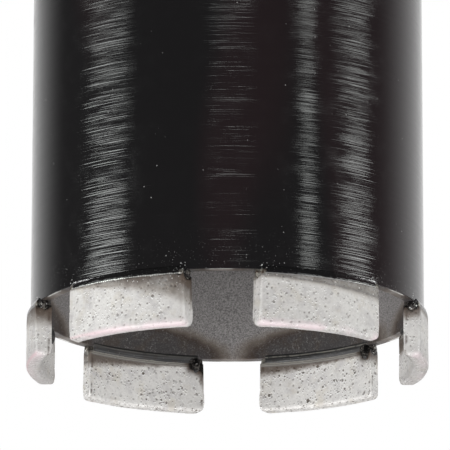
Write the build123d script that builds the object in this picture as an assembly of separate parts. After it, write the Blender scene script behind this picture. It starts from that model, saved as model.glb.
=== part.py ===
from build123d import *
import math
import os

# Diamond core bit, standing on its cutting segments, in millimetres and degrees.
# The origin is on the bit's axis in the plane of the cutting faces, with +Z up towards the hub.
# Angles about the axis are counted from -Y towards +X.

# Cutting segments
CUT_DIAMETER = 72.0  # over the segments' outer faces
SEGMENT_COUNT = 6
SEGMENT_LENGTH = 24.0  # straight across at the cutting face
SEGMENT_THICKNESS = 2.8
SEGMENT_PROUD = 0.75  # how far the outer face stands out from the barrel
SEGMENT_HEIGHT = 10.0  # from the cutting face up to the barrel's rim
SEGMENT_END_DRAFT = 1.7  # lean of each end, so that the cutting face is the longest part
SEGMENT_CORNER_RADIUS = 0.9  # where each end turns into the cutting face
SEGMENT_EDGE_CHAMFER = 0.3  # round the outer and the inner face
FIRST_SEGMENT_ANGLE = 30.0
SEGMENT_TURN_ERRORS = (-1.6, 0.2, -1.1, -1.8, 0.3, -1.3)  # how far each sits from its even place

# Weld seams between the segments and the rim
SEAM_DEPTH = 0.75  # below the rim
SEAM_LAP = 0.65  # above the rim, over both faces of the barrel
SEAM_CROWN = 0.2  # how far the bead bulges between its edges
CRATER_RADIUS = 0.9  # the drop of metal at each end of a seam

# Barrel
BARREL_WALL = 2.0
BARREL_LENGTH = 150.0

# End plate and its weld
PLATE_THICKNESS = 6.0  # above the barrel's end
PLATE_SPIGOT_DEPTH = 3.0  # inside the barrel
SPIGOT_CLEARANCE = 0.05  # all round each spigot
GROOVE_SIZE = 1.4  # each side of the weld groove at the plate's edge
PLATE_WELD_LAP = 0.5  # how far the bead runs past the groove
PLATE_WELD_CROWN = 0.5
PLATE_EDGE_CHAMFER = 0.8

# Hub and its weld
THREAD_DIAMETER = 31.75  # across the roots of the female thread
THREAD_CHAMFER = 1.4
HUB_SPIGOT_WALL = 3.125  # round the thread, inside the plate
HUB_SHOULDER = 3.5  # how far the boss stands out from the spigot, to sit on the plate
HUB_HEIGHT = 32.0  # above the plate
HUB_EDGE_CHAMFER = 1.0
FLATS_DEPTH = 2.0  # of each of the two spanner flats
FLATS_HEIGHT = 19.0  # down from the hub's upper end
HUB_WELD_LEG = 4.0
HUB_WELD_CROWN = 0.5

# Values that follow from those above
cut_radius = CUT_DIAMETER / 2
segment_inner_radius = cut_radius - SEGMENT_THICKNESS
segment_top_half = SEGMENT_LENGTH / 2 - SEGMENT_HEIGHT * math.tan(math.radians(SEGMENT_END_DRAFT))
barrel_radius = cut_radius - SEGMENT_PROUD
barrel_inner_radius = barrel_radius - BARREL_WALL
rim_z = SEGMENT_HEIGHT
seam_z = rim_z - SEAM_DEPTH
barrel_top_z = rim_z + BARREL_LENGTH
plate_top_z = barrel_top_z + PLATE_THICKNESS
plate_bottom_z = barrel_top_z - PLATE_SPIGOT_DEPTH
thread_radius = THREAD_DIAMETER / 2
hub_spigot_radius = thread_radius + HUB_SPIGOT_WALL
hub_radius = hub_spigot_radius + HUB_SHOULDER
plate_hole_radius = hub_spigot_radius + SPIGOT_CLEARANCE
hub_top_z = plate_top_z + HUB_HEIGHT


def tube(outer, inner, low, high):
    """A plain ring between two radii and two heights."""
    ring = Cylinder(outer, high - low) - Cylinder(inner, high - low)
    return Pos(0, 0, (low + high) / 2) * ring


def turned(*edges):
    """A solid turned about Z from a closed outline drawn as (radius, height)."""
    return revolve(Plane.XZ * make_face(edges), Axis.Z)


def segment_outline(height):
    """Front view of a segment, from its cutting face up to a height."""
    half = SEGMENT_LENGTH / 2
    lean = height * math.tan(math.radians(SEGMENT_END_DRAFT))
    corners = [(-half, 0), (half, 0), (half - lean, height), (lean - half, height)]
    outline = make_face(Polyline(*corners, close=True))
    lower = outline.vertices().sort_by(Axis.Y)[:2]
    return fillet(lower, SEGMENT_CORNER_RADIUS)


def front_segment():
    """The segment at angle 0: parallel ends, and faces that follow the bit's curve."""
    block = extrude(Plane.XZ * segment_outline(seam_z), cut_radius)
    body = block & tube(cut_radius, segment_inner_radius, 0, seam_z)
    outer = body.faces().filter_by(GeomType.CYLINDER).sort_by(Axis.Y)[0]
    inner = body.faces().sort_by(lambda f: abs(f.center().Y + segment_inner_radius))[0]
    below_seam = [e for f in (outer, inner) for e in f.edges() if e.center().Z < seam_z - 0.001]
    return chamfer(below_seam, SEGMENT_EDGE_CHAMFER)


def front_seam(segment, barrel):
    """The weld seam over the segment at angle 0, laid over the rim and then freed of both pieces."""
    top = rim_z + SEAM_LAP
    middle = (seam_z + top) / 2
    bulge_out = (cut_radius + barrel_radius) / 2 + SEAM_CROWN
    bulge_in = (segment_inner_radius + barrel_inner_radius) / 2 - SEAM_CROWN
    corners = [
        (segment_inner_radius, seam_z),
        (cut_radius, seam_z),
        (bulge_out, middle),
        (barrel_radius, top),
        (barrel_inner_radius, top),
        (bulge_in, middle),
    ]
    bead = turned(Polyline(*corners, close=True))
    length = 2 * segment_top_half
    reach = Pos(0, -cut_radius / 2 - SEAM_CROWN, middle) * Box(length, cut_radius + 2 * SEAM_CROWN, top)
    seam = bead & reach
    middle_radius = (cut_radius + segment_inner_radius) / 2
    crater_y = -math.sqrt(middle_radius**2 - segment_top_half**2)
    drop = Cylinder(CRATER_RADIUS, SEAM_DEPTH + CRATER_RADIUS, align=(Align.CENTER, Align.CENTER, Align.MAX))
    drop = chamfer(drop.edges().group_by(Axis.Z)[0], CRATER_RADIUS / 3)
    for side in (-1, 1):
        seam += Pos(side * segment_top_half, crater_y, rim_z) * drop
    return seam - segment - barrel


def barrel():
    """The tube, with its upper outer edge bevelled for the weld."""
    body = tube(barrel_radius, barrel_inner_radius, rim_z, barrel_top_z)
    edge = body.edges().group_by(Axis.Z)[-1].sort_by(lambda e: e.radius)[-1]
    return chamfer(edge, GROOVE_SIZE)


def end_plate():
    """The disc in the barrel's end: spigot, bevel for the weld, and a hole for the hub."""
    rim = barrel_radius
    spigot = barrel_inner_radius - SPIGOT_CLEARANCE
    corners = [
        (plate_hole_radius, plate_bottom_z),
        (spigot, plate_bottom_z),
        (spigot, barrel_top_z),
        (rim - GROOVE_SIZE, barrel_top_z),
        (rim, barrel_top_z + GROOVE_SIZE),
        (rim, plate_top_z - PLATE_EDGE_CHAMFER),
        (rim - PLATE_EDGE_CHAMFER, plate_top_z),
        (plate_hole_radius, plate_top_z),
    ]
    return turned(Polyline(*corners, close=True))


def end_plate_weld():
    """The ring weld that fills the groove between barrel and plate, crowned outside."""
    root = (barrel_radius - GROOVE_SIZE, barrel_top_z)
    low = barrel_top_z - GROOVE_SIZE
    high = barrel_top_z + GROOVE_SIZE
    toe_low = (barrel_radius, low - PLATE_WELD_LAP)
    toe_high = (barrel_radius, high + PLATE_WELD_LAP)
    crown = (barrel_radius + PLATE_WELD_CROWN, barrel_top_z)
    corners = [
        (barrel_radius, high),
        root,
        (barrel_radius, low),
        toe_low,
        crown,
        toe_high,
    ]
    return turned(Polyline(*corners, close=True))


def hub():
    """The hub: a turned boss and spigot bored for the thread, with two spanner flats."""
    corners = [
        (thread_radius + THREAD_CHAMFER, plate_bottom_z),
        (hub_spigot_radius, plate_bottom_z),
        (hub_spigot_radius, plate_top_z),
        (hub_radius, plate_top_z),
        (hub_radius, hub_top_z - HUB_EDGE_CHAMFER),
        (hub_radius - HUB_EDGE_CHAMFER, hub_top_z),
        (thread_radius + THREAD_CHAMFER, hub_top_z),
        (thread_radius, hub_top_z - THREAD_CHAMFER),
        (thread_radius, plate_bottom_z + THREAD_CHAMFER),
    ]
    body = turned(Polyline(*corners, close=True))
    cut = Box(2 * hub_radius, 2 * FLATS_DEPTH, 2 * FLATS_HEIGHT)
    for side in (-1, 1):
        body -= Pos(0, side * hub_radius, hub_top_z) * cut
    return body


def hub_weld():
    """The fillet weld round the hub's foot, a little crowned."""
    toe_out = (hub_radius + HUB_WELD_LEG, plate_top_z)
    toe_up = (hub_radius, plate_top_z + HUB_WELD_LEG)
    reach = HUB_WELD_LEG / 2 + HUB_WELD_CROWN / math.sqrt(2)
    crown = (hub_radius + reach, plate_top_z + reach)
    return turned(Polyline(toe_up, (hub_radius, plate_top_z), toe_out, crown, close=True))


def segment_angle(index):
    """Angle of a segment's middle about the bit's axis."""
    error = SEGMENT_TURN_ERRORS[index % len(SEGMENT_TURN_ERRORS)]
    return FIRST_SEGMENT_ANGLE + index * 360 / SEGMENT_COUNT + error


def all_parts():
    """Every piece of the bit by its name."""
    body = barrel()
    parts = {
        "barrel": body,
        "end_plate": end_plate(),
        "end_plate_weld": end_plate_weld(),
        "hub": hub(),
        "hub_weld": hub_weld(),
    }
    segment = front_segment()
    seam = front_seam(segment, body)
    for index in range(SEGMENT_COUNT):
        turn = Rot(0, 0, segment_angle(index))
        parts[f"segment_{index + 1}"] = turn * segment
        parts[f"segment_weld_{index + 1}"] = turn * seam
    return parts


os.makedirs("parts", exist_ok=True)
for name, solid in all_parts().items():
    export_step(solid, f"parts/{name}.step")
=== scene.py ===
import math
from contextlib import contextmanager

import bmesh
import bpy
from bpy.props import FloatProperty, FloatVectorProperty, IntProperty, PointerProperty
from mathutils import Matrix, Vector


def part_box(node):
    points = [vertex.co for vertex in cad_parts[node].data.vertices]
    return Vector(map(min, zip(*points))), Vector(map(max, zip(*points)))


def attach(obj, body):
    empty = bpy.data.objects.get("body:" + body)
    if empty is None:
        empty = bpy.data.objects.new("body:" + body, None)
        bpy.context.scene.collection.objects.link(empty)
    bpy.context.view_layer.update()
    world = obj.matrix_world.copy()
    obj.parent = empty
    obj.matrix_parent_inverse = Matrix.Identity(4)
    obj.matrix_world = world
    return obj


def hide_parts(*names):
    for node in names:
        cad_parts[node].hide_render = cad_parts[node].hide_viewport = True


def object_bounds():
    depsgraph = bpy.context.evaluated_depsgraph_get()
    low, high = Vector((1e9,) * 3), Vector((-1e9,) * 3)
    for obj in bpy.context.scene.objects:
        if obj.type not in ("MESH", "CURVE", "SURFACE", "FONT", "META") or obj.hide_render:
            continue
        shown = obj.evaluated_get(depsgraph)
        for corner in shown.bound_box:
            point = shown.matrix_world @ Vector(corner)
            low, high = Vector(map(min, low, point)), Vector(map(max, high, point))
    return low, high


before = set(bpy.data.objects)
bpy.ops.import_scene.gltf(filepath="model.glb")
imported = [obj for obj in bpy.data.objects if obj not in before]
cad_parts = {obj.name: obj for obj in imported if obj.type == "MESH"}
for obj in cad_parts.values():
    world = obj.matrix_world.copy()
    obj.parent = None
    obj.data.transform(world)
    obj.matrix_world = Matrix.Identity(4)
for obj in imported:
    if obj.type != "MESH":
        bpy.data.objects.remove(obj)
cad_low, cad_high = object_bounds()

bl_info = {
    "name": "Diamond core bit",
    "version": (1, 0, 0),
    "blender": (4, 5, 0),
    "location": "3D View > Sidebar > Core Bit",
    "description": "Builds a diamond core bit with a painted barrel and six welded segments",
    "category": "Add Mesh",
}

MM = 0.001
TINY = 1e-6  # metres that still count as the same place

# Middle of each segment, in degrees about the bit's axis, from -Y towards +X
SEGMENT_ANGLES = (28.4, 90.2, 148.9, 208.2, 270.3, 328.7)
SEGMENT_SPACING = 60.0
# How fast the burnt strip under each weld grows along the segment, by the degree
BURN_GROWTH = (0.02, 0.03, 0.02, 0.025, 0.03, 0.045)
# How far down the weld has scorched each segment at its two ends, in millimetres
SCORCH = ((0.2, 0.1), (0.8, 0.6), (0.9, 0.1), (3.2, 0.3), (0.0, 0.7), (0.2, 0.6))
# How much darker each segment is painted than the sinter colour: painted shade for how brightly each is lit
SEGMENT_SHADE = (0.24, 0.12, 0.0, 0.0, 0.2, 0.1)
# Ripples of the weld, in radians of their wave to one degree round the bit
TICKS_A_DEGREE = 8.8

# Lesser sizes of the pieces
SEAM_DEPTH = 0.75 * MM  # from the rim down to a segment's top
CORNER_RADIUS = 0.9 * MM  # where a segment's end turns into its cutting face
CUTTING_EDGE_ROUNDING = 0.65 * MM
ARRIS = 0.32 * MM  # on a segment's other edges
BARREL_ARRIS = 0.12 * MM
PLATE_ARRIS = 0.2 * MM
HUB_ARRIS = 0.3 * MM
PIT_DEPTH = 0.16 * MM
SCORCH_REACH = 0.9 * MM  # how fast the scorch of a segment's end fades
SEGMENT_VOXEL = 0.17 * MM
SEAM_VOXEL = 0.13 * MM
DROP_RADIUS = 0.85 * MM  # of the weld metal in a seam's craters
WELD_GROOVE = 1.4 * MM  # each side of the groove between barrel and plate
PLATE_WELD_LAP = 0.5 * MM  # how far that weld runs past its groove
PLATE_WELD_CROWN = 0.55 * MM
PLATE_WELD_SUNK = 0.13 * MM  # of its edges under the faces
PLATE_WELD_RIPPLES = 150
HUB_WELD_LEG = 4.0 * MM
HUB_WELD_CROWN = 0.5 * MM
HUB_WELD_RIPPLES = 90
HUB_SPIGOT_WALL = 3.125 * MM  # round the thread, inside the plate
SPIGOT_CLEARANCE = 0.05 * MM
PLATE_EDGE = 0.8 * MM
HUB_EDGE = 1.0 * MM
THREAD_MOUTH = 1.4 * MM  # chamfer at both ends of the thread
THREAD_TURNS = 13
RIDGE_DEPTH = 2.0 * MM
RIDGE_FOOT = 3.3 * MM
RIDGE_TIP = 0.27  # of the foot's width
FLATS_DEPTH = 2.0 * MM
FLATS_HEIGHT = 19.0 * MM
CURVE_STEPS = 8  # along the crown of a ring weld

# A seam's section in millimetres, as (in from the segment's face, up from the rim)
BEAD_OUTSIDE = ((0.3, -1.3), (0.04, -0.8), (0.06, -0.4), (0.22, 0.0), (0.48, 0.4), (0.78, 0.75))
BEAD_INSIDE = ((0.08, 0.75), (-0.12, 0.3), (-0.16, -0.2), (0.0, -0.8), (0.3, -1.3))

# Places that the finishes read, in millimetres
RIM = 10.0
BLOCK_MIDDLE = 34.6  # radius of the middle of a segment's thickness
END_DROP_HEIGHT = 9.6
INNER_DROP_RADIUS = 33.5
INNER_DROP_HEIGHT = 8.9
INNER_DROP_SHARE = -0.88  # of the way from a segment's middle to its end
HALF_SEAM = 11.7  # from a seam's middle to its end

# Specks in the sinter: how many a millimetre, how large in their cells and how dark
SPECKS = ((0.55, 0.16, 0.8), (1.0, 0.21, 0.75), (2.1, 0.28, 0.5))

# Lesser tints of the finishes, as linear colours
DUST = (0.42, 0.42, 0.41)
SPATTER_GLINT = (0.85, 0.86, 0.84)
STEEL_GRAIN = (0.08, 0.08, 0.08)
BURNT_CORE = (0.055, 0.060, 0.062)
BROWN_CLOUD = (0.098, 0.075, 0.058)
BURNT_GRAIN = (0.19, 0.18, 0.178)
FLECK = (0.3, 0.29, 0.285)
BARE_EDGE_HIGHLIGHT = (0.8, 0.8, 0.77)
WELD_DARK = (0.06, 0.06, 0.062)
WELD_PALE = (0.13, 0.13, 0.13)
WELD_TOP = (0.15, 0.145, 0.14)
WELD_TOE = (0.06, 0.06, 0.06)
WELD_BAND = (0.010, 0.010, 0.010)
WELD_GRIT = (0.34, 0.33, 0.31)
WELD_TICK_HIGHLIGHT = (0.6, 0.61, 0.57)
SOOT = (0.014, 0.013, 0.013)
ASH = (0.13, 0.12, 0.11)
HIGHLIGHT_WHITE = (0.8, 0.79, 0.77)
SINTER_GRAIN = (0.36, 0.34, 0.33)
FAR_SHADE = (0.3, 0.29, 0.28)
LOW_SHADE = (0.3, 0.28, 0.28)
GLINT = (0.95, 0.95, 0.94)
PIT_LIP_HIGHLIGHT = (0.93, 0.93, 0.92)
BLUSH = (0.62, 0.33, 0.38)
STRIP_SPECK = (0.05, 0.045, 0.04)
STRIP_GLINT = (0.8, 0.79, 0.76)
INNER_SEAM = (0.18, 0.165, 0.155)
CRATER_HALO = (0.27, 0.21, 0.16)
CRATER_BLACK = (0.012, 0.011, 0.010)
CUT_STEEL_DARK = (0.12, 0.12, 0.12)

# Lamps, and cards that show in the gloss alone. Each has its azimuth, elevation, width and height in
# degrees, as seen from the bit, and its brightness
LAMP_DISTANCE = 2.0  # metres
LAMPS = (
    (-66, -30, 36, 26, 9.0),
    (64, -30, 36, 26, 7.4),
    (-2, -32, 30, 20, 6.0),
    (-150, 52, 21, 21, 8.0),
    (150, 52, 21, 21, 8.0),
)
REFLECTORS = (
    (-75.5, 25.8, 31, 11, 1.8),
    (-75.5, 5.4, 31, 11, 8.4),
    (47.4, 25.8, 10, 11, 3.3),
    (47.4, 5.4, 10, 11, 5.4),
    (80.5, 25.8, 27, 11, 3.2),
    (80.5, 5.4, 27, 11, 6.2),
    (2, 28, 24, 2.4, 8.0),
)
REFLECTOR_COLOUR = (0.96, 1.0, 0.97)
LIT_HEIGHT = 30 * MM  # of the point that the lamps face
WORLD_LIGHT = 0.20
FLOOR_RADIUS = 0.9  # metres
FLOOR_GAP = 0.05 * MM
FLOOR_GREY = (0.93, 0.93, 0.93, 1)

# The camera, in metres and degrees
CAMERA_DISTANCE = 1.0004
CAMERA_TILT = 14.714
CAMERA_ROLL = 0.079
CAMERA_LENS = 444.6
CAMERA_SENSOR = 36.0
CAMERA_AIM = Vector((-0.45, 0, 26.99)) * MM

barrel_low, barrel_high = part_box("barrel")
plate_low, plate_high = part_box("end_plate")
hub_low, hub_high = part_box("hub")


def length(name, description, default):
    """A length that a user can change, in metres."""
    return FloatProperty(name=name, description=description, default=default, unit="LENGTH")


class CoreBitSizes(bpy.types.PropertyGroup):
    """Sizes of the bit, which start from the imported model's."""

    barrel_radius: length("Barrel radius", "Outer radius of the tube", barrel_high.x)
    barrel_wall: length("Barrel wall", "Thickness of the tube's wall", 2.0 * MM)
    rim_height: length("Rim height", "Height of the tube's rim over the cutting faces", barrel_low.z)
    barrel_top: length("Barrel top", "Height of the tube's upper end", barrel_high.z)
    cut_radius: length("Cutting radius", "Radius over the segments' outer faces", cad_high.x)
    segment_thickness: length("Segment thickness", "From the inner to the outer face", 2.8 * MM)
    segment_length: length("Segment length", "Straight across at the cutting face", 24.0 * MM)
    segment_draft: FloatProperty(
        name="Segment draft", description="Lean of each end", default=math.radians(1.7), subtype="ANGLE"
    )
    plate_top: length("Plate top", "Height of the end plate's upper face", plate_high.z)
    hub_radius: length("Hub radius", "Outer radius of the hub", hub_high.x)
    hub_top: length("Hub top", "Height of the hub's upper end", hub_high.z)
    thread_radius: length("Thread radius", "To the roots of the female thread", 15.875 * MM)
    thread_pitch: length("Thread pitch", "Seven turns to the inch", 25.4 / 7 * MM)
    ring_steps: IntProperty(
        name="Ring steps", description="Divisions round each turned piece", default=256, min=32
    )


def colour(name, description, red, green, blue):
    """A colour that a user can change, from its sRGB values of 0 to 255."""
    linear = [((c / 255 + 0.055) / 1.055) ** 2.4 if c > 10 else c / 255 / 12.92 for c in (red, green, blue)]
    return FloatVectorProperty(
        name=name, description=description, default=linear, subtype="COLOR", size=3, min=0, max=1
    )


class CoreBitColours(bpy.types.PropertyGroup):
    """Colours of the bit's finishes."""

    paint: colour("Paint", "Gloss black of the barrel and the hub", 22, 21, 22)
    paint_red: colour("Paint undertone", "Where the black has a reddish cast", 33, 24, 26)
    bare_steel: colour("Bare steel", "Inside of the barrel", 174, 170, 169)
    straw_tint: colour("Straw tint", "Outer fringe of the heat tint", 122, 110, 98)
    brown_tint: colour("Brown tint", "Inner fringe of the heat tint", 74, 60, 51)
    # This colour also paints the dark line under a weld strip: oxide, and painted shade under the bead
    oxide_and_shade: colour("Oxide", "Burnt steel at the welds", 66, 67, 67)
    scale: colour("Scale", "Dark heat tint on the barrel's inside", 84, 80, 80)
    sinter: colour("Sintered metal", "Faces of the segments", 218, 216, 213)
    sinter_warm: colour("Sinter stain", "Yellowish clouds on the segments", 196, 188, 172)
    sinter_cool: colour("Sinter shade", "Greyer clouds on the segments", 184, 181, 182)
    sinter_dark: colour("Pits", "Pits in the segments", 88, 80, 72)
    sinter_pink: colour("Cutting face", "Pink cast of the outer cutting edges", 221, 204, 208)
    weld: colour("Weld metal", "Grey strip of weld", 150, 148, 146)
    # The ridge colour also paints pale lines along the weld's ridges, as their painted highlights
    ridge: colour("Weld ridges", "Fine ridges along the inner side of a weld", 158, 156, 148)


class Value:
    """A shader value. Python's operators on it add Math nodes."""

    def __init__(self, finish, socket):
        self.finish = finish
        self.socket = socket

    def math(self, operation, *others):
        return self.finish.node("ShaderNodeMath", {"operation": operation}, dict(enumerate((self, *others))))

    def __add__(self, other):
        return self.math("ADD", other)

    __radd__ = __add__

    def __mul__(self, other):
        return self.math("MULTIPLY", other)

    __rmul__ = __mul__

    def __sub__(self, other):
        return self.math("SUBTRACT", other)

    def __rsub__(self, other):
        return self.finish.node("ShaderNodeMath", {"operation": "SUBTRACT"}, {0: other, 1: self})

    def __truediv__(self, other):
        return self.math("DIVIDE", other)

    def __pow__(self, other):
        return self.math("POWER", other)

    def __or__(self, other):
        return self.math("MAXIMUM", other)

    def __abs__(self):
        return self.math("ABSOLUTE")

    def exp(self):
        return self.math("EXPONENT")

    def step(self, low, high):
        """0 below low and 1 above high, with a smooth change between; the other way round if low is more."""
        settings = {"interpolation_type": "SMOOTHSTEP", "clamp": True}
        rising = low < high
        ends = {1: min(low, high), 2: max(low, high), 3: 0.0 if rising else 1.0, 4: 1.0 if rising else 0.0}
        return self.finish.node("ShaderNodeMapRange", settings, {0: self, **ends})


class Nodes:
    """The node tree of a material or a world."""

    def __init__(self, owner):
        owner.use_nodes = True
        self.tree = owner.node_tree
        self.tree.nodes.clear()

    def node(self, kind, settings=None, inputs=None, output=0):
        """Adds a node, its settings first and then its sockets' values or links, and gives one output."""
        made = self.tree.nodes.new(kind)
        for name, value in (settings or {}).items():
            setattr(made, name, value)
        for name, value in (inputs or {}).items():
            socket = made.inputs[name]
            if isinstance(value, Value):
                self.tree.links.new(value.socket, socket)
            else:
                socket.default_value = value
        return Value(self, made.outputs[output]) if made.outputs else None

    def seen_as_white(self):
        """1 for rays from the camera, in a reflection or through glass, and 1 for the camera's alone."""
        path = self.node("ShaderNodeLightPath").socket.node
        camera, glossy, through = (
            Value(self, path.outputs[f"Is {ray} Ray"]) for ray in ("Camera", "Glossy", "Transmission")
        )
        return camera | glossy | through, camera


class Finish(Nodes):
    """A procedural material, with the bit's own measures as shader values in millimetres and degrees."""

    def __init__(self, name):
        self.material = bpy.data.materials.new(name)
        super().__init__(self.material)
        self.place = self.node(
            "ShaderNodeVectorMath", {"operation": "SCALE"},
            {0: self.node("ShaderNodeTexCoord", output="Object"), "Scale": 1000.0},
        )
        split = self.node("ShaderNodeSeparateXYZ", inputs={0: self.place}).socket.node
        self.x, self.y, self.z = (Value(self, split.outputs[axis]) for axis in "XYZ")
        self.radius = (self.x * self.x + self.y * self.y) ** 0.5
        self.angle = self.x.math("ARCTAN2", self.y * -1.0) * (180 / math.pi)

    def moved(self, stretch, shift):
        """The place on the bit, stretched along each axis and then shifted."""
        inputs = {"Vector": self.place, "Scale": stretch, "Location": shift}
        return self.node("ShaderNodeMapping", {"vector_type": "POINT"}, inputs)

    def noise(self, scale, detail=2.0, roughness=0.5, stretch=(1, 1, 1), shift=(0, 0, 0)):
        """Noise with scale features a millimetre; stretch multiplies that along each axis."""
        where = self.moved(stretch, shift)
        inputs = {"Vector": where, "Scale": scale, "Detail": detail, "Roughness": roughness}
        return self.node("ShaderNodeTexNoise", {"noise_dimensions": "3D"}, inputs)

    def cells(self, scale, stretch=(1, 1, 1), shift=(0, 0, 0)):
        """Distance from the middle of the nearest cell, scale of them a millimetre."""
        inputs = {"Vector": self.moved(stretch, shift), "Scale": scale}
        return self.node("ShaderNodeTexVoronoi", {"feature": "F1"}, inputs)

    def mix(self, mask, first, second):
        """The first colour where the mask is 0 and the second where it is 1."""
        as_colour = [c if isinstance(c, Value) else (*c, 1.0) for c in (first, second)]
        settings = {"data_type": "RGBA", "clamp_factor": True}
        return self.node("ShaderNodeMix", settings, {0: mask, 6: as_colour[0], 7: as_colour[1]}, 2)

    def stored(self, name):
        """A value that the piece's mesh holds for each vertex."""
        return self.node("ShaderNodeAttribute", {"attribute_name": name}, output="Fac")

    def blend(self, mask, first, second):
        """The same for plain values."""
        settings = {"data_type": "FLOAT", "clamp_factor": True}
        return self.node("ShaderNodeMix", settings, {0: mask, 2: first, 3: second})

    def lean(self, mask, first, second):
        """The same for normals."""
        return self.node("ShaderNodeMix", {"data_type": "VECTOR"}, {0: mask, 4: first, 5: second}, 1)

    def bump(self, height, depth, below=None):
        """A bump over the one below, in which a height of 1 stands for a depth in millimetres."""
        inputs = {"Height": height, "Strength": 1.0, "Distance": depth * MM}
        if below is not None:
            inputs["Normal"] = below
        return self.node("ShaderNodeBump", inputs=inputs)

    def shade(self, **sockets):
        """Ends the material with its main shader."""
        inputs = {name.replace("_", " "): value for name, value in sockets.items()}
        shader = self.node("ShaderNodeBsdfPrincipled", inputs=inputs)
        self.node("ShaderNodeOutputMaterial", inputs={"Surface": shader})
        return self.material

    def shade_either(self, mask, first, second):
        """Ends the material with two surfaces, each of (colour, roughness, metallic, normal)."""
        return self.shade(
            Base_Color=self.mix(mask, first[0], second[0]),
            Roughness=self.blend(mask, first[1], second[1]),
            Metallic=self.blend(mask, first[2], second[2]),
            Normal=self.lean(mask, first[3], second[3]),
            IOR=1.5,
        )


def near_segment(f):
    """Degrees from the middle of the nearest segment, signed."""
    half = SEGMENT_SPACING / 2
    onward = f.angle + (360 + half - SEGMENT_ANGLES[0])
    return onward.math("FLOORED_MODULO", SEGMENT_SPACING) - half


def from_end_drop(f):
    """Millimetres, on a segment's end, from the middle of the drop of weld there."""
    across = f.radius - BLOCK_MIDDLE
    up = f.z - END_DROP_HEIGHT
    return (across * across + up * up) ** 0.5


def from_inner_drop(f, along):
    """Millimetres from the middle of the drop of weld on the inner side, near one end."""
    beside = (along - INNER_DROP_SHARE) * HALF_SEAM
    across = f.radius - INNER_DROP_RADIUS
    up = f.z - INNER_DROP_HEIGHT
    return (beside * beside + across * across + up * up) ** 0.5


def painted(f, colours, marks, rough=0.1):
    """The surface of gloss black paint over the marks of grinding or turning."""
    cast = f.noise(0.045, 1.0, stretch=(1, 1, 0.2), shift=(3, 0, 0)).step(0.45, 0.6)
    body = f.mix(cast * 0.8, colours.paint, colours.paint_red)
    near_rim = f.z.step(18.0, RIM)
    size = f.noise(1.3, 2.0, shift=(8, 8, 8)) * 0.24
    grains = (f.cells(1.5) + size).step(0.23, 0.15) * near_rim
    dust = f.cells(0.42).step(0.06, 0.03) * 0.6 + grains * 0.7
    dust = dust * f.noise(0.25, 3.0, shift=(1, 7, 2)).step(0.36, 0.54)
    fine = (f.cells(2.6) + size).step(0.28, 0.16) * near_rim
    fine = fine * f.noise(0.5, 2.0, shift=(3, 1, 9)).step(0.42, 0.58)
    weld_end = abs(abs(near_segment(f)) - 18.6).step(1.7, 0.9) * f.z.step(11.4, 10.9)
    body = f.mix(dust + fine * 0.75, body, DUST)
    # White dots at the weld ends: real spatter, painted bright as its glints
    spatter_glints = f.cells(1.5, shift=(2, 5, 3)).step(0.24, 0.14) * weld_end
    body = f.mix(spatter_glints, body, SPATTER_GLINT)
    roughness = rough + f.noise(0.35, 3.0).step(0.4, 0.75) * 0.08
    swells = f.bump(f.noise(0.6, 2.0, stretch=(0.3, 0.3, 1)), 0.005)
    return body, roughness, 0.0, f.bump(marks, 0.03, swells)


def brushing(f):
    """Grinding marks round the axis that show through the paint, in patches."""
    lines = f.noise(1.0, 1.5, 0.5, stretch=(0.06, 0.06, 5.0)) - 0.5
    broad = f.noise(1.0, 1.0, 0.5, stretch=(0.04, 0.04, 1.2), shift=(7, 3, 1))
    patches = f.noise(0.3, 2.0, stretch=(0.4, 0.4, 1.4)).step(0.35, 0.65)
    return lines * (patches * 0.4 + 0.8) + broad * 0.5


def barrel_finish(colours):
    """Black paint outside; bare steel inside, tinted by the heat of the segments' welds."""
    f = Finish("barrel_paint_and_steel")
    outside = f.radius.step(35.02, 35.16)
    paint = painted(f, colours, brushing(f))
    over_rim = f.z - RIM
    from_segment = near_segment(f)
    edge = f.noise(0.5, 3.0) * 0.22 - 0.11
    burnt = ((from_segment / 26.4) ** 2.0 + (over_rim / 5.6) ** 2.0) ** 0.5 + edge
    grain = f.noise(4.2, 3.0, 0.7)
    steel = f.mix(grain.step(0.35, 0.68) * 0.8, colours.bare_steel, STEEL_GRAIN)
    steel = f.mix(burnt.step(1.28, 0.98) * 0.7, steel, colours.straw_tint)
    steel = f.mix(burnt.step(1.12, 0.86), steel, colours.brown_tint)
    steel = f.mix(burnt.step(0.98, 0.74), steel, colours.scale)
    steel = f.mix(burnt.step(0.8, 0.4) * 0.3, steel, BURNT_CORE)
    clouds = f.noise(0.32, 3.0, 0.6, shift=(6, 6, 0)).step(0.46, 0.66) * burnt.step(1.0, 0.85)
    steel = f.mix(clouds * 0.6, steel, BROWN_CLOUD)
    flecks = f.cells(1.3).step(0.18, 0.08) * 0.8
    flecks = flecks + f.noise(2.6, 2.0, 0.7, shift=(2, 2, 8)).step(0.5, 0.7) * 0.6
    flecks = flecks * (f.noise(0.45, 2.0, shift=(0, 3, 4)).step(0.42, 0.62) * 0.9 + 0.25)
    steel = f.mix(grain.step(0.48, 0.72) * burnt.step(1.1, 0.9) * 0.75, steel, BURNT_GRAIN)
    steel = f.mix(flecks * burnt.step(1.1, 0.9), steel, FLECK)
    # The rim's bare steel edge, made bright as a painted highlight line and broken up by noise
    bare_edge_highlight = f.z.step(10.25, 10.1) * f.radius.step(34.6, 34.85) * burnt.step(0.95, 1.05)
    patchy = f.noise(0.7, 3.0, 0.6, shift=(5, 0, 0)).step(0.35, 0.6) * 0.6 + 0.4
    steel = f.mix(bare_edge_highlight * patchy, steel, BARE_EDGE_HIGHLIGHT)
    rough = f.blend(burnt.step(1.1, 0.8), 0.52, 0.34)
    return f.shade_either(outside, (steel, rough, 0.55, f.bump(grain, 0.03)), paint)


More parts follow.
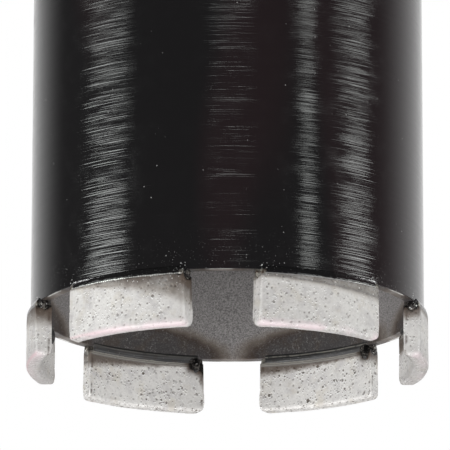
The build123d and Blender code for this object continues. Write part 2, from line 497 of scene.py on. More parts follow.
def seam_finish(colours):
    """Weld metal: painted over outside, burnt dark inside and glossy at the craters."""
    f = Finish("seam_weld_metal")
    paint = painted(f, colours, brushing(f))
    along = f.stored("along")
    ragged = f.noise(1.2, 3.0) * 0.3 - 0.15
    outer = f.radius.step(34.9, 35.1)
    scorch = f.stored("scorch")
    end = (abs(along) * 2.0 + f.noise(1.2, 2.0) * 0.16).step(1.92, 1.99)
    laid = (f.z + ragged).step(9.3, 9.38) * (1.0 - end)
    outside = outer * (laid | f.z.step(9.85, 10.0))
    streaks = f.noise(1.0, 2.0, stretch=(0.07, 0.07, 2.6), shift=(2, 5, 0))
    metal = f.mix(streaks.step(0.4, 0.65), WELD_DARK, WELD_PALE)
    metal = f.mix(f.z.step(9.7, 10.3) * 0.5, metal, WELD_TOP)
    metal = f.mix(f.noise(0.8, 3.0).step(0.5, 0.7) * 0.3, metal, colours.brown_tint)
    crisp = f.stored("burn").step(0.024, 0.021)
    waved = f.z + (f.noise(0.22, 1.0, stretch=(1, 1, 0.3)) - 0.5) * 0.3
    rough_edge = waved + f.noise(2.2, 3.0, 0.7) * 0.5 - 0.25
    black = rough_edge.step(9.35, 9.55) * waved.step(10.12, 10.02) * (crisp * 0.45 + 0.1)
    metal = f.mix(black, metal, WELD_BAND)
    grit = f.cells(2.0, shift=(4, 0, 0)).step(0.2, 0.08) * f.noise(0.7, 2.0, shift=(0, 6, 0)).step(0.4, 0.6)
    metal = f.mix(grit * 0.7, metal, WELD_GRIT)
    # A pale line along a ridge of the weld: painted highlight
    line = abs(waved - 10.2).step(0.16, 0.08) * f.noise(0.8, 2.0, shift=(7, 0, 0)).step(0.3, 0.5)
    metal = f.mix(line * (crisp * 0.7 + 0.3), metal, colours.ridge)
    metal = f.mix(waved.step(10.3, 10.4), metal, WELD_TOE)
    # Bright dashes on the weld's ripples along the paint edge: painted highlights
    tick_highlights = (f.angle * TICKS_A_DEGREE).math("SINE").step(-0.1, 0.7) * f.stored("burn").step(0.038, 0.044)
    metal = f.mix(outer * (f.z + ragged).step(9.5, 9.2) * 0.8, metal, colours.weld)
    metal = f.mix(outer * tick_highlights * (f.z + ragged).step(9.8, 9.5) * 0.6, metal, WELD_TICK_HIGHLIGHT)
    at_end = (from_end_drop(f) + ragged * 0.6).step(1.2, 0.9) * end
    inside = from_inner_drop(f, along).step(1.5, 1.15)
    drop = (at_end | inside) * scorch.step(0.1, 0.5)
    metal = f.mix(end, metal, f.mix(ragged.step(-0.05, 0.05), colours.ridge, colours.brown_tint))
    sooty = f.noise(1.4, 3.0, 0.7, shift=(0, 0, 5)).step(0.46, 0.6)
    metal = f.mix(drop, metal, f.mix(sooty, SOOT, ASH))
    # Pale specks on the weld's ends and drops: painted glints
    metal = f.mix((end | drop) * f.cells(1.2).step(0.2, 0.12) * 0.8, metal, HIGHLIGHT_WHITE)
    relief = f.blend(end, streaks, f.noise(1.1, 2.0, shift=(5, 5, 1)) * 2.0)
    rough = f.blend(drop, 0.3, 0.1)
    return f.shade_either(outside, (metal, rough, 0.6, f.bump(relief, 0.12)), paint)


def sinter_colour(f, colours, grain, clouds):
    """The sintered metal: grey and yellowish clouds, specks of three sizes, painted glints, painted shade on
    the far segments and over each segment as a whole, and darker low on the side segments.
    """
    cool = f.noise(0.45, 4.0, 0.6, shift=(6, 1, 3)).step(0.45, 0.68)
    base = f.mix(cool * 0.55, colours.sinter, colours.sinter_cool)
    warm = f.noise(0.35, 4.0, 0.6, shift=(1, 7, 5)).step(0.5, 0.72)
    base = f.mix(warm * 0.5, base, colours.sinter_warm)
    pressed = f.z.step(0.35, 0.15) * 0.5
    # Grain, and each segment's own painted shade
    base = f.mix(grain.step(0.42, 0.7) * (0.22 + pressed) + f.stored("segment_shade"), base, SINTER_GRAIN)
    base = f.mix(abs(f.x).step(16.0, 3.0) * f.y.step(20.0, 30.0) * 0.26, base, FAR_SHADE)
    base = f.mix(f.z.step(3.5, 0.5) * abs(f.y).step(14.0, 11.0) * 0.32, base, LOW_SHADE)
    flocks = f.noise(0.28, 2.0, shift=(9, 4, 2)).step(0.36, 0.54)
    # Pale specks of the diamond grit: painted glints
    glint = f.cells(1.4).step(0.17, 0.09) * (1.0 - clouds.step(0.42, 0.56) * 0.7)
    base = f.mix(glint * 0.6, base, GLINT)
    far = f.y.step(0.0, 22.0)
    blur = f.noise(1.6, 2.0, shift=(3, 3, 3)) * 0.3 - 0.15 - far * 0.04
    oblong = (1.0, 0.83, 0.9)
    for scale, size, amount in SPECKS:
        # A pale spot just below each speck: painted highlight on the pit's lip
        lip = (f.cells(scale, oblong, (0, 0, 0.17)) + blur).step(size * 1.1, size * 0.4)
        base = f.mix(lip * flocks * 0.7, base, PIT_LIP_HIGHLIGHT)
        speck = (f.cells(scale, oblong) + blur).step(size, size * 0.4)
        base = f.mix(speck * (flocks * 0.9 + 0.1) * (amount + far * 0.2), base, colours.sinter_dark)
    # Darker by how deep each sunk pit is: painted shade in the pits
    return f.mix(f.stored("pit_shade") * 0.8, base, colours.sinter_dark)


def with_edges(f, colours, base, side, depth, ragged):
    """A painted highlight along each arris with a broken line of painted shade beside it, and pink at the
    lower outer edge.
    """
    inside = depth.step(0.2, 0.9)
    arris = side | (1.4 - abs(depth))
    # A pale line along each arris: painted highlight
    base = f.mix(arris.step(0.45, 0.15) * 0.2, base, HIGHLIGHT_WHITE)
    # A broken dark line beside it: painted shade
    line = arris.step(0.3, 0.5) * arris.step(1.0, 0.6) * f.noise(0.35, 3.0, shift=(8, 8, 2)).step(0.48, 0.6)
    base = f.mix(line * (inside * 0.75 + 0.08), base, colours.brown_tint)
    pink = (f.z + ragged * 1.2).step(1.6, 0.0) * (depth + f.z * 0.8).step(0.9, -0.7)
    pink = pink * (f.y.step(-6.0, -16.0) * 0.7 + f.y.step(10.0, 2.0) * 0.3)
    pink = pink * f.noise(0.16, 1.0, shift=(5, 1, 0)).step(0.3, 0.55)
    base = f.mix(pink * 0.8, base, colours.sinter_pink)
    blush = f.z.step(0.9, 0.2) * depth.step(-0.9, -1.3) * f.y.step(10.0, 2.0) * f.x.step(-16.0, -26.0)
    return f.mix(blush * 0.4, base, BLUSH)


def weld_strip(f, colours, grain, clouds, fuzzy):
    """The grey and brown metal of the strip that a weld has burnt, with dark specks and painted glints."""
    strip = f.mix(grain.step(0.35, 0.7) * 0.5, colours.weld, colours.straw_tint)
    strip = f.mix((fuzzy * 0.45 + 0.35) * clouds.step(0.35, 0.6), strip, colours.brown_tint)
    strip = f.mix(f.cells(1.7, shift=(6, 2, 0)).step(0.3, 0.14) * 0.7, strip, STRIP_SPECK)
    return f.mix(f.cells(1.5, shift=(1, 8, 3)).step(0.2, 0.1) * 0.7, strip, STRIP_GLINT)


def segment_finish(colours):
    """Sintered metal: pale and pitted, brown under the weld and a little pink at the cutting face."""
    f = Finish("segment_sintered_metal")
    burn, scorch, along = f.stored("burn"), f.stored("scorch"), f.stored("along")
    side = (1.0 - abs(along)) * 12.0
    depth = BLOCK_MIDDLE - f.radius
    inside = depth.step(0.2, 0.9)
    grain = f.noise(2.0, 3.0, 0.65)
    clouds = f.noise(0.3, 3.0)
    ragged = f.noise(0.9, 4.0, 0.6) - 0.5
    base = sinter_colour(f, colours, grain, clouds)
    base = with_edges(f, colours, base, side, depth, ragged)

    # The burnt strip widens along each segment, and has a crisp or a fuzzy edge
    below_rim = RIM - f.z + ragged * 0.4
    share = below_rim / ((near_segment(f) * burn).exp() * (1.65 + burn * 8.0))
    fuzzy = burn.step(0.026, 0.029)
    crisp = (1.0 - fuzzy) * (1.0 - inside)
    strip = weld_strip(f, colours, grain, clouds, fuzzy)
    base = f.mix(share.step(1.5, 0.95) * 0.6, base, colours.straw_tint)
    base = f.mix(share.step(1.08, 0.95) * crisp, base, strip)
    base = f.mix((share + ragged * 0.5).step(1.35, 0.35) * fuzzy * (1.0 - inside), base, strip)
    # A dark line along the strip's lower edge: oxide, and painted shade under the bead
    base = f.mix(share.step(1.2, 1.02) * share.step(0.8, 0.98) * crisp * 0.35, base, colours.oxide_and_shade)

    # Inside it is brown, with pale lines above painted as highlights on the seam's fine ridges
    waved = f.z + ragged * 0.25
    base = f.mix((share + ragged * 0.8).step(1.4, 0.8) * inside * 0.75, base, colours.brown_tint)
    base = f.mix(waved.step(8.3, 8.5) * inside, base, INNER_SEAM)
    # Pale lines painted as highlights on the ridges
    for level, strength in ((9.0, 0.9), (8.66, 0.7)):
        base = f.mix(abs(waved - level).step(0.13, 0.05) * inside * strength, base, colours.ridge)

    # Scorched ends, and black round the drops of weld metal
    halo = from_end_drop(f) + ragged * 1.6
    at_end = side.step(1.2, 0.3) * scorch.step(0.05, 0.5)
    base = f.mix(halo.step(3.2, 1.4) * at_end * 0.45, base, CRATER_HALO)
    reach = (below_rim + ragged * 1.2) / (scorch + 0.8)
    base = f.mix(reach.step(2.6, 1.0) * 0.85 * scorch.step(0.1, 0.5), base, colours.brown_tint)
    crater = from_inner_drop(f, along) + ragged * 1.4 + f.y.step(18.0, 12.5) * 3.0
    base = f.mix(crater.step(2.9, 1.2) * inside * 0.9, base, colours.brown_tint)
    black = reach.step(1.3, 0.75) * scorch.step(0.02, 0.3)
    black = black * (1.0 - side.step(0.5, 0.2) * scorch.step(1.6, 1.3))
    black = black | halo.step(1.7, 1.1) * at_end | crater.step(1.7, 1.1) * inside
    base = f.mix(black, base, CRATER_BLACK)

    painted_top = below_rim.step(0.95, 0.82) * f.radius.step(35.3, 35.6)
    smoothed = painted_top | black
    rough = (grain * 0.35 + f.noise(5.0, 2.0) * 0.1) * share.step(0.9, 1.1)
    proud = share.step(1.1, 0.92) * crisp
    return f.shade(
        Base_Color=f.mix(painted_top, base, colours.paint),
        Roughness=f.blend(smoothed, 0.45 + grain * 0.2, 0.14),
        Metallic=f.blend(share.step(1.1, 0.95), 0.1, 0.35),
        Normal=f.bump(rough, 0.06, f.bump(proud, 0.12)),
    )


def machined_finish(colours, name):
    """Black paint over turned marks, and bare cut steel inside the thread."""
    f = Finish(name)
    marks = f.noise(1.0, 2.0, 0.5, stretch=(0.2, 0.2, 3.0)) * 0.35
    paint = painted(f, colours, marks, 0.17)
    bore = f.radius.step(17.4, 17.2)
    turning = f.noise(1.0, 3.0, 0.6, stretch=(0.2, 0.2, 6.0)).step(0.3, 0.8)
    steel = f.mix(turning * 0.5, colours.weld, CUT_STEEL_DARK)
    cut = f.bump(f.noise(1.0, 2.0, 0.6, stretch=(0.2, 0.2, 8.0)), 0.02)
    return f.shade_either(bore, paint, (steel, 0.3, 0.6, cut))


def select_only(piece=None):
    """Selects one piece and makes it the active one, or selects nothing."""
    bpy.ops.object.select_all(action="DESELECT")
    if piece:
        piece.select_set(True)
        bpy.context.view_layer.objects.active = piece


@contextmanager
def shaping(piece):
    """Edit mode on one piece, with nothing selected at first."""
    select_only(piece)
    bpy.ops.object.mode_set(mode="EDIT")
    bpy.ops.mesh.select_all(action="DESELECT")
    yield
    bpy.ops.object.mode_set(mode="OBJECT")


def pick(piece, kind, rule):
    """In edit mode, selects the vertices, edges or faces that the rule accepts, and no others."""
    bpy.ops.mesh.select_mode(type=kind)
    bpy.ops.mesh.select_all(action="DESELECT")
    mesh = bmesh.from_edit_mesh(piece.data)
    parts = {"VERT": mesh.verts, "EDGE": mesh.edges, "FACE": mesh.faces}[kind]
    for part in parts:
        if rule(part):
            part.select_set(True)
    mesh.select_flush_mode()
    bmesh.update_edit_mesh(piece.data)


def close_up():
    """In edit mode, merges doubled vertices and turns all faces outwards."""
    bpy.ops.mesh.select_all(action="SELECT")
    bpy.ops.mesh.remove_doubles(threshold=TINY)
    bpy.ops.mesh.normals_make_consistent(inside=False)


def added(name):
    """Names the primitive that was just added and puts its place in its mesh."""
    piece = bpy.context.object
    piece.name = piece.data.name = name
    bpy.ops.object.transform_apply(location=True, rotation=True, scale=True)
    return piece


def modified(piece, kind, **settings):
    """Adds a modifier to a piece and applies it."""
    select_only(piece)
    modifier = piece.modifiers.new(kind.title(), kind)
    for name, value in settings.items():
        setattr(modifier, name, value)
    bpy.ops.object.modifier_apply(modifier=modifier.name)


def smooth(piece, degrees=30.0):
    """Shades a piece smooth except at its sharper edges."""
    select_only(piece)
    bpy.ops.object.shade_smooth_by_angle(angle=math.radians(degrees))


def bevelled(piece, width, sharper):
    """Rounds the edges of a piece that are sharper than an angle in degrees."""
    angle = math.radians(sharper)
    modified(piece, "BEVEL", width=width, segments=3, limit_method="ANGLE", angle_limit=angle)


def machined(piece, edge):
    """Breaks a piece's edges by a small radius, and keeps the faces between them flat to look at."""
    bevelled(piece, edge, 30)
    smooth(piece)
    modified(piece, "WEIGHTED_NORMAL", keep_sharp=True, weight=100)


def turned(name, outline, steps):
    """A ring turned about Z: a circle at the outline's first point, drawn on round the outline and closed."""
    radius, height = outline[0]
    select_only()
    bpy.ops.mesh.primitive_circle_add(vertices=steps, radius=radius, location=(0, 0, height))
    piece = added(name)
    with shaping(piece):
        bpy.ops.mesh.select_all(action="SELECT")
        for (r0, z0), (r1, z1) in zip(outline, outline[1:]):
            bpy.ops.mesh.extrude_region_move(TRANSFORM_OT_translate={"value": (0, 0, z1 - z0)})
            bpy.ops.transform.resize(value=(r1 / r0, r1 / r0, 1), center_override=(0, 0, z1))

        def at_end(vert):
            r = math.hypot(vert.co.x, vert.co.y)
            return any(math.hypot(r - a, vert.co.z - b) < TINY for a, b in (outline[0], outline[-1]))

        pick(piece, "EDGE", lambda edge: all(at_end(v) for v in edge.verts))
        bpy.ops.mesh.bridge_edge_loops()
        close_up()
    return piece


def rippled(piece, ripples, swell):
    """Swells a ring's mesh in even ripples round the axis, four columns to each."""
    columns = 4 * ripples

    def column(vert):
        return round(math.atan2(vert.co.y, vert.co.x) / (2 * math.pi) * columns) % 4

    with shaping(piece):
        for wanted, share in ((2, 1.0), (1, 0.55), (3, 0.55)):
            pick(piece, "VERT", lambda vert: column(vert) == wanted)
            bpy.ops.transform.shrink_fatten(value=swell * share)


def uneven(piece, size, depth, middle):
    """Moves a piece's surface in and out by soft noise, with features of a size."""
    texture = bpy.data.textures.new(piece.name + "_unevenness", "CLOUDS")
    texture.noise_scale = size
    modified(piece, "DISPLACE", texture=texture, strength=depth, mid_level=middle, texture_coords="LOCAL")


def pitted(piece):
    """Sinks small pits into a piece, and gives how deep each vertex went as a share of the deepest."""
    texture = bpy.data.textures.new(piece.name + "_pits", "VORONOI")
    texture.noise_scale = MM
    texture.use_color_ramp = True
    floor, lip = texture.color_ramp.elements
    floor.position, floor.color = 0.10, (0, 0, 0, 1)
    lip.position, lip.color = 0.20, (1, 1, 1, 1)
    before = [v.co.copy() for v in piece.data.vertices]
    modified(piece, "DISPLACE", texture=texture, strength=PIT_DEPTH, mid_level=1.0, texture_coords="LOCAL")
    return [(v.co - old).length / PIT_DEPTH for v, old in zip(piece.data.vertices, before)]


def ring_weld(name, section, ripples, swell, roughness):
    """A ring weld turned from its section, with its ripples and a slightly uneven surface."""
    weld = turned(name, section, 4 * ripples)
    rippled(weld, ripples, swell)
    uneven(weld, 2.5 * MM, roughness, middle=0.9)
    smooth(weld, 60)
    return weld


def turned_copy(piece, name, degrees):
    """A copy with its own mesh, turned about the bit's axis."""
    copy = piece.copy()
    copy.data = piece.data.copy()
    copy.name = copy.data.name = name
    bpy.context.collection.objects.link(copy)
    copy.data.transform(Matrix.Rotation(math.radians(degrees), 4, "Z"))
    return copy


def stored(piece, name, values):
    """Stores a value for each vertex in a piece's mesh, for its finish to read."""
    piece.data.attributes.new(name, "FLOAT", "POINT").data.foreach_set("value", values)


def finished(piece, material, slot, *nodes):
    """Gives a piece its material and its body, and hides the solids it stands for. The slot is not used."""
    piece.data.materials.clear()
    piece.data.materials.append(material)
    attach(piece, "root")
    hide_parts(*nodes)


class BuildStep:
    """What the operators for the pieces share."""

    def execute(self, context):
        self.build(context.scene.core_bit_sizes, context.scene.core_bit_colours)
        return {"FINISHED"}


class CORE_BIT_OT_barrel(BuildStep, bpy.types.Operator):
    """Turn the tube and paint it"""

    bl_idname = "core_bit.barrel"
    bl_label = "Barrel"

    def build(self, s, colours):
        inner = s.barrel_radius - s.barrel_wall
        outline = [
            (s.barrel_radius, s.rim_height),
            (s.barrel_radius, s.barrel_top - WELD_GROOVE),
            (s.barrel_radius - WELD_GROOVE, s.barrel_top),
            (inner, s.barrel_top),
            (inner, s.rim_height),
        ]
        piece = turned("painted_barrel", outline, s.ring_steps)
        machined(piece, BARREL_ARRIS)
        finished(piece, barrel_finish(colours), "black_paint", "barrel")


def spun_section(name, outline, degrees, steps):
    """A bent bar about angle 0: a section drawn as (radius, height), spun about the bit's axis."""
    select_only()
    bpy.ops.mesh.primitive_circle_add(vertices=len(outline), radius=MM, fill_type="NGON")
    piece = added(name)
    with shaping(piece):
        corners = bmesh.from_edit_mesh(piece.data).verts
        for corner, (radius, height) in zip(corners, outline):
            corner.co = (0, -radius, height)
        bpy.ops.mesh.select_all(action="SELECT")
        half = math.radians(degrees) / 2
        bpy.ops.transform.rotate(value=half, orient_axis="Z", center_override=(0, 0, 0))
        bpy.ops.mesh.spin(steps=steps, angle=-2 * half, center=(0, 0, 0), axis=(0, 0, 1))
        close_up()
    return piece


def segment_block(s):
    """One segment about angle 0: a block with leaning ends, cut to the bit's curve and moulded soft."""
    inner = s.cut_radius - s.segment_thickness
    top = s.rim_height - SEAM_DEPTH
    half = s.segment_length / 2
    select_only()
    bpy.ops.mesh.primitive_cube_add(size=1.0, location=(0, -s.barrel_radius, top / 2))
    bpy.context.object.scale = (2 * half, 20 * MM, top)
    block = added("segment_block")

    def at_lower_end(edge):
        one, other = (v.co for v in edge.verts)
        return max(one.z, other.z) < TINY and abs(one.x - other.x) < TINY

    def round_cutting_face(edge):
        one, other = (math.hypot(v.co.x, v.co.y) for v in edge.verts)
        return all(v.co.z < MM for v in edge.verts) and abs(one - other) < 0.2 * MM

    with shaping(block):
        pick(block, "FACE", lambda face: face.normal.z > 0.9)
        upper = (half - top * math.tan(s.segment_draft)) / half
        bpy.ops.transform.resize(value=(upper, 1, 1), center_override=(0, 0, 0))
        pick(block, "EDGE", at_lower_end)
        bpy.ops.mesh.bevel(offset=CORNER_RADIUS, segments=6, profile=0.5)
    section = [(inner, -MM), (s.cut_radius, -MM), (s.cut_radius, 2 * top), (inner, 2 * top)]
    ring = turned("segment_ring", section, 2 * s.ring_steps)
    modified(block, "BOOLEAN", operation="INTERSECT", object=ring, solver="EXACT")
    bpy.data.objects.remove(ring)
    with shaping(block):
        pick(block, "EDGE", round_cutting_face)
        bpy.ops.mesh.bevel(offset=CUTTING_EDGE_ROUNDING, segments=4, profile=0.5)
    bevelled(block, ARRIS, 35)
    modified(block, "REMESH", mode="VOXEL", voxel_size=SEGMENT_VOXEL)
    modified(block, "SMOOTH", factor=0.5, iterations=3)
    return block


class CORE_BIT_OT_segments(BuildStep, bpy.types.Operator):
    """Mould one segment and set six of them round the rim"""

    bl_idname = "core_bit.segments"
    bl_label = "Segments"

    def build(self, s, colours):
        half = s.segment_length / 2
        block = segment_block(s)
        material = segment_finish(colours)
        along = [v.co.x / (half - v.co.z * math.tan(s.segment_draft)) for v in block.data.vertices]
        stored(block, "along", along)
        fade = [math.exp((abs(share) - 1) * half / SCORCH_REACH) for share in along]
        for index, degrees in enumerate(SEGMENT_ANGLES):
            piece = turned_copy(block, f"sintered_segment_{index + 1}", degrees)
            uneven(piece, size=3.0 * MM, depth=0.12 * MM, middle=1.0)
            stored(piece, "pit_shade", pitted(piece))
            stored(piece, "burn", [BURN_GROWTH[index]] * len(along))
            stored(piece, "segment_shade", [SEGMENT_SHADE[index]] * len(along))
            stored(piece, "scorch", [SCORCH[index][a > 0] * share for a, share in zip(along, fade)])
            smooth(piece, 60)
            finished(piece, material, "sintered_metal", f"segment_{index + 1}")
        bpy.data.objects.remove(block)


def seam_bead(s, half):
    """One seam about angle 0: a bead over the rim, with drops of metal at its ends and inside."""
    inner = s.cut_radius - s.segment_thickness
    rim = s.rim_height
    section = [(s.cut_radius - into * MM, rim + above * MM) for into, above in BEAD_OUTSIDE]
    section += [(inner + into * MM, rim + above * MM) for into, above in BEAD_INSIDE]
    sweep = 2 * math.degrees(math.asin(half / s.cut_radius))
    bead = spun_section("seam_bead", section, sweep, steps=216)
    middle = (s.cut_radius + inner) / 2

    # The drops sit a little within the bead's ends, and below the rim
    end_x = half - 0.35 * MM
    end_y = -math.sqrt(middle**2 - half**2)
    end_z = rim - 0.5 * MM
    inner_x = 1.2 * MM - half
    inner_y = -math.sqrt(inner**2 - (half - 1.4 * MM) ** 2) - 0.35 * MM
    inner_z = rim - 1.2 * MM
    for place, tall in (
        ((end_x, end_y, end_z), 1.4),
        ((-end_x, end_y, end_z), 1.4),
        ((inner_x, inner_y, inner_z), 1.9),
    ):
        select_only()
        bpy.ops.mesh.primitive_uv_sphere_add(
            segments=32, ring_count=16, radius=DROP_RADIUS, location=place, scale=(1, 1, tall)
        )
        drop = added("crater_drop")
        select_only(bead)
        drop.select_set(True)
        bpy.ops.object.join()
    modified(bead, "REMESH", mode="VOXEL", voxel_size=SEAM_VOXEL)
    modified(bead, "SMOOTH", factor=0.5, iterations=3)
    return bead


class CORE_BIT_OT_seams(BuildStep, bpy.types.Operator):
    """Lay one weld seam with its craters and copy it over each segment"""

    bl_idname = "core_bit.seams"
    bl_label = "Weld seams"

    def build(self, s, colours):
        half = s.segment_length / 2 - s.rim_height * math.tan(s.segment_draft)
        bead = seam_bead(s, half)
        along = [v.co.x / half for v in bead.data.vertices]
        stored(bead, "along", along)
        material = seam_finish(colours)
        for index, degrees in enumerate(SEGMENT_ANGLES):
            piece = turned_copy(bead, f"weld_seam_{index + 1}", degrees)
            uneven(piece, size=1.1 * MM, depth=0.09 * MM, middle=0.7)
            stored(piece, "burn", [BURN_GROWTH[index]] * len(along))
            stored(piece, "scorch", [SCORCH[index][a > 0] for a in along])
            smooth(piece, 60)
            finished(piece, material, "weld_steel", f"segment_weld_{index + 1}")
        bpy.data.objects.remove(bead)


class CORE_BIT_OT_end_plate(BuildStep, bpy.types.Operator):
    """Turn the end plate and lay its ring weld"""

    bl_idname = "core_bit.end_plate"
    bl_label = "End plate"

    def build(self, s, colours):
        bottom = plate_low.z
        hole = s.thread_radius + HUB_SPIGOT_WALL + SPIGOT_CLEARANCE
        rim = s.barrel_radius
        spigot = rim - s.barrel_wall - SPIGOT_CLEARANCE
        outline = [
            (hole, bottom),
            (spigot, bottom),
            (spigot, s.barrel_top),
            (rim - WELD_GROOVE, s.barrel_top),
            (rim, s.barrel_top + WELD_GROOVE),
            (rim, s.plate_top - PLATE_EDGE),
            (rim - PLATE_EDGE, s.plate_top),
            (hole, s.plate_top),
        ]
        plate = turned("turned_end_plate", outline, s.ring_steps)
        machined(plate, PLATE_ARRIS)
        finished(plate, machined_finish(colours, "plate_paint"), "black_paint", "end_plate")

        reach = WELD_GROOVE + PLATE_WELD_LAP
        crown = [
            (rim - PLATE_WELD_SUNK + PLATE_WELD_CROWN * math.sin(t), s.barrel_top - reach * math.cos(t))
            for t in (math.pi * step / CURVE_STEPS for step in range(CURVE_STEPS + 1))
        ]
        section = [(rim - WELD_GROOVE, s.barrel_top), *crown]
        ripples = PLATE_WELD_RIPPLES
        weld = ring_weld("rippled_plate_weld", section, ripples, swell=0.09 * MM, roughness=0.15 * MM)
        finished(weld, machined_finish(colours, "weld_paint"), "black_paint", "end_plate_weld")


def hub_body(s):
    """The turned hub, with its two flats milled."""
    bottom = hub_low.z
    spigot = s.thread_radius + HUB_SPIGOT_WALL
    mouth = s.thread_radius + THREAD_MOUTH
    outline = [
        (mouth, bottom),
        (spigot, bottom),
        (spigot, s.plate_top),
        (s.hub_radius, s.plate_top),
        (s.hub_radius, s.hub_top - HUB_EDGE),
        (s.hub_radius - HUB_EDGE, s.hub_top),
        (mouth, s.hub_top),
        (s.thread_radius, s.hub_top - THREAD_MOUTH),
        (s.thread_radius, bottom + THREAD_MOUTH),
    ]
    hub = turned("turned_hub", outline, steps=192)
    for side in (-1, 1):
        select_only()
        bpy.ops.mesh.primitive_cube_add(size=1.0, location=(0, side * s.hub_radius, s.hub_top))
        bpy.context.object.scale = (60 * MM, 2 * FLATS_DEPTH, 2 * FLATS_HEIGHT)
        cutter = added("flat_cutter")
        modified(hub, "BOOLEAN", operation="DIFFERENCE", object=cutter, solver="EXACT")
        bpy.data.objects.remove(cutter)
    machined(hub, HUB_ARRIS)
    return hub


def thread_ridge(s):
    """The thread's ridge, wound from its section and cut level at both ends."""
    bottom = hub_low.z
    select_only()
    bpy.ops.mesh.primitive_plane_add(
        size=1.0, location=(s.thread_radius - 0.9 * MM, 0, bottom - 2 * MM), rotation=(math.pi / 2, 0, 0)
    )
    bpy.context.object.scale = (RIDGE_DEPTH, RIDGE_FOOT, 1)
    ridge = added("thread_ridge")
    with shaping(ridge):
        pick(ridge, "VERT", lambda vert: vert.co.x < s.thread_radius - MM)
        bpy.ops.transform.resize(value=(1, 1, RIDGE_TIP))
        bpy.ops.mesh.select_all(action="SELECT")
        bpy.ops.mesh.delete(type="ONLY_FACE")
    modified(
        ridge, "SCREW", axis="Z", screw_offset=s.thread_pitch, iterations=THREAD_TURNS,
        steps=96, render_steps=96, use_merge_vertices=True, merge_threshold=TINY,
    )
    with shaping(ridge):
        for height, way in ((bottom + 1.2 * MM, -1), (s.hub_top - 1.2 * MM, 1)):
            bpy.ops.mesh.select_all(action="SELECT")
            bpy.ops.mesh.bisect(
                plane_co=(0, 0, height), plane_no=(0, 0, way), use_fill=True, clear_outer=True
            )
        bpy.ops.mesh.select_all(action="SELECT")
        bpy.ops.mesh.normals_make_consistent(inside=False)
    smooth(ridge)
    return ridge


def hub_weld(s):
    """The fillet weld round the hub's foot, a little crowned."""
    section = [(s.hub_radius - 0.2 * MM, s.plate_top)]
    for step in range(CURVE_STEPS + 1):
        t = step / CURVE_STEPS
        out = HUB_WELD_CROWN * 4 * t * (1 - t) / math.sqrt(2)
        section.append((s.hub_radius + HUB_WELD_LEG * t + out, s.plate_top + HUB_WELD_LEG * (1 - t) + out))
    return ring_weld("rippled_hub_weld", section, HUB_WELD_RIPPLES, swell=0.12 * MM, roughness=0.2 * MM)


class CORE_BIT_OT_hub(BuildStep, bpy.types.Operator):
    """Turn the hub, mill its flats, cut its thread and lay its weld"""

    bl_idname = "core_bit.hub"
    bl_label = "Hub"

    def build(self, s, colours):
        material = machined_finish(colours, "hub_paint")
        finished(hub_body(s), material, "black_paint", "hub")
        finished(thread_ridge(s), material, "black_paint")
        finished(hub_weld(s), machined_finish(colours, "hub_weld_paint"), "black_paint", "hub_weld")


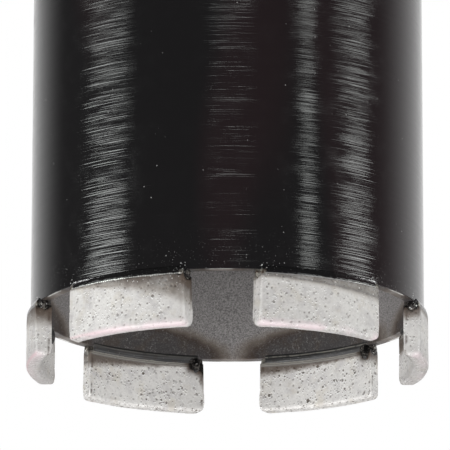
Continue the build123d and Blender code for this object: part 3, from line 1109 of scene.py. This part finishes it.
class CORE_BIT_OT_stage(bpy.types.Operator):
    """Set up the floor, the lamps, the white surroundings and the camera"""

    bl_idname = "core_bit.stage"
    bl_label = "Stage"

    def execute(self, context):
        self.surroundings(context.scene)
        self.floor()
        for number, place in enumerate(LAMPS):
            self.lamp(f"lamp_{number}", *place)
        for number, place in enumerate(REFLECTORS):
            self.reflector(f"reflector_{number}", *place)
        self.camera(context.scene)
        context.scene.view_settings.view_transform = "Standard"
        return {"FINISHED"}

    def surroundings(self, scene):
        """A world that is white to look at or in a reflection, and plain daylight on the object."""
        scene.world = bpy.data.worlds.new("white_surroundings")
        n = Nodes(scene.world)
        seen, camera = n.seen_as_white()
        direction = n.node("ShaderNodeTexCoord", output="Generated")
        behind = n.node(
            "ShaderNodeVectorMath", {"operation": "DOT_PRODUCT"}, {0: direction, 1: (0.12, 1.0, 0.0)}, "Value"
        )
        # A reflection shows white behind the bit and nearly black before it
        reflected = behind.step(0.21, 0.94) * 0.92 + 0.08
        shown = camera | reflected
        strength = seen * shown + (1.0 - seen) * WORLD_LIGHT
        sky = n.node("ShaderNodeBackground", inputs={"Color": (1, 1, 1, 1), "Strength": strength})
        n.node("ShaderNodeOutputWorld", inputs={"Surface": sky})

    def floor(self):
        """A pale floor that fades into the white, and is seen from above only."""
        select_only()
        bpy.ops.mesh.primitive_circle_add(
            vertices=96, radius=FLOOR_RADIUS, fill_type="NGON", location=(0, 0, cad_low.z - FLOOR_GAP)
        )
        floor = added("floor")
        f = Finish("pale_floor")
        seen, _ = f.seen_as_white()
        above = 1.0 - f.node("ShaderNodeNewGeometry", output="Backfacing")
        shown = seen * above * f.radius.step(850.0, 260.0)
        pale = f.node("ShaderNodeBsdfDiffuse", inputs={"Color": FLOOR_GREY})
        clear = f.node("ShaderNodeBsdfTransparent")
        both = f.node("ShaderNodeMixShader", inputs={0: shown, 1: clear, 2: pale})
        f.node("ShaderNodeOutputMaterial", inputs={"Surface": both})
        floor.data.materials.append(f.material)

    def lamp(self, name, azimuth, elevation, width, height, brightness, shape="RECTANGLE"):
        """A soft lamp that faces the bit, and looks as wide and high from there as it is asked to."""
        light = bpy.data.lights.new(name, "AREA")
        light.shape = shape
        light.size = 2 * LAMP_DISTANCE * math.tan(math.radians(width) / 2)
        light.size_y = 2 * LAMP_DISTANCE * math.tan(math.radians(height) / 2)
        light.energy = brightness * math.pi * light.size * light.size_y
        lamp = bpy.data.objects.new(light.name, light)
        bpy.context.collection.objects.link(lamp)
        side, up = math.radians(azimuth), math.radians(elevation)
        away = Vector((math.sin(side) * math.cos(up), -math.cos(side) * math.cos(up), math.sin(up)))
        lamp.location = Vector((0, 0, LIT_HEIGHT)) + LAMP_DISTANCE * away
        lamp.rotation_euler = away.to_track_quat("Z", "Y").to_euler()
        lamp.visible_camera = False
        return lamp

    def reflector(self, *place):
        """A bright card that only shows in the gloss, as a band down the paint."""
        card = self.lamp(*place, shape="ELLIPSE")
        card.visible_diffuse = False
        card.data.color = REFLECTOR_COLOUR

    def camera(self, scene):
        """The camera, which looks up at the open end from a metre away."""
        tilt = math.radians(CAMERA_TILT)
        data = bpy.data.cameras.new("camera")
        data.lens = CAMERA_LENS
        data.sensor_width = CAMERA_SENSOR
        data.clip_start = 0.01
        data.clip_end = 50.0
        camera = bpy.data.objects.new("camera", data)
        bpy.context.collection.objects.link(camera)
        ahead = Vector((0, math.cos(tilt), math.sin(tilt)))
        camera.location = CAMERA_AIM - CAMERA_DISTANCE * ahead
        roll = Matrix.Rotation(math.radians(CAMERA_ROLL), 3, "Z")
        camera.rotation_euler = (ahead.to_track_quat("-Z", "Y").to_matrix() @ roll).to_euler()
        scene.camera = camera


OPERATORS = (
    CORE_BIT_OT_barrel,
    CORE_BIT_OT_segments,
    CORE_BIT_OT_seams,
    CORE_BIT_OT_end_plate,
    CORE_BIT_OT_hub,
    CORE_BIT_OT_stage,
)


class CORE_BIT_PT_pieces(bpy.types.Panel):
    """The bit's pieces, sizes and colours"""

    bl_idname = "CORE_BIT_PT_pieces"
    bl_label = "Diamond Core Bit"
    bl_space_type = "VIEW_3D"
    bl_region_type = "UI"
    bl_category = "Core Bit"

    def draw(self, context):
        for operator in OPERATORS:
            self.layout.operator(operator.bl_idname)
        for group in (context.scene.core_bit_sizes, context.scene.core_bit_colours):
            box = self.layout.box()
            for name in group.bl_rna.properties.keys():
                if name not in {"rna_type", "name"}:
                    box.prop(group, name)


CLASSES = (CoreBitSizes, CoreBitColours, *OPERATORS, CORE_BIT_PT_pieces)


def register():
    for made in CLASSES:
        bpy.utils.register_class(made)
    bpy.types.Scene.core_bit_sizes = PointerProperty(type=CoreBitSizes)
    bpy.types.Scene.core_bit_colours = PointerProperty(type=CoreBitColours)


def unregister():
    del bpy.types.Scene.core_bit_colours
    del bpy.types.Scene.core_bit_sizes
    for made in reversed(CLASSES):
        bpy.utils.unregister_class(made)


def main():
    """Builds the whole bit."""
    register()
    bpy.ops.core_bit.barrel()
    bpy.ops.core_bit.segments()
    bpy.ops.core_bit.seams()
    bpy.ops.core_bit.end_plate()
    bpy.ops.core_bit.hub()
    bpy.ops.core_bit.stage()


if __name__ == "__main__":
    main()
